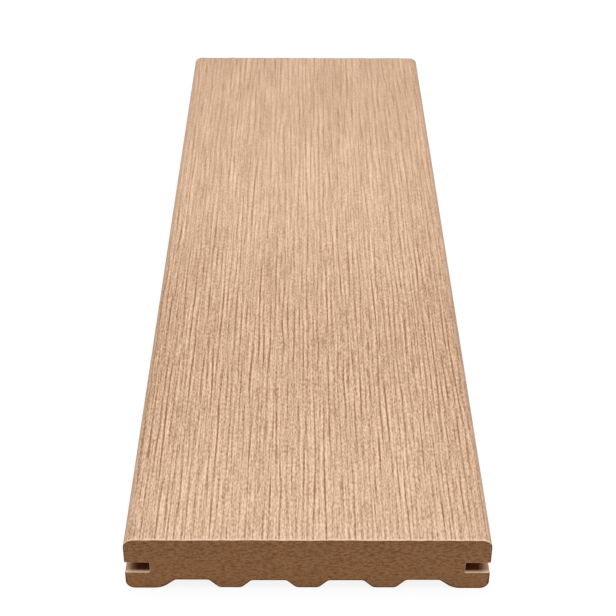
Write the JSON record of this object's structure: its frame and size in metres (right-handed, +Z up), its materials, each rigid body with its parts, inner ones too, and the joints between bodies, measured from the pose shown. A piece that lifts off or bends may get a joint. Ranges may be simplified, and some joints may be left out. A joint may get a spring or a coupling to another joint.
{
  "type": "decking board",
  "caption": "Capped composite decking board with an embossed walking face, a clip groove along each side and a scalloped underside.",
  "frame": {"origin": "under the middle of the board, on the surface that its feet stand on", "axes": "+X across the board, +Y along it, +Z up out of the walking face"},
  "size_m": [0.136, 0.43, 0.0243],
  "materials": {
    "capped_composite": "matte"
  },
  "bodies": {
    "root": {"decking_board": "capped_composite"}
  },
  "joints": []
}
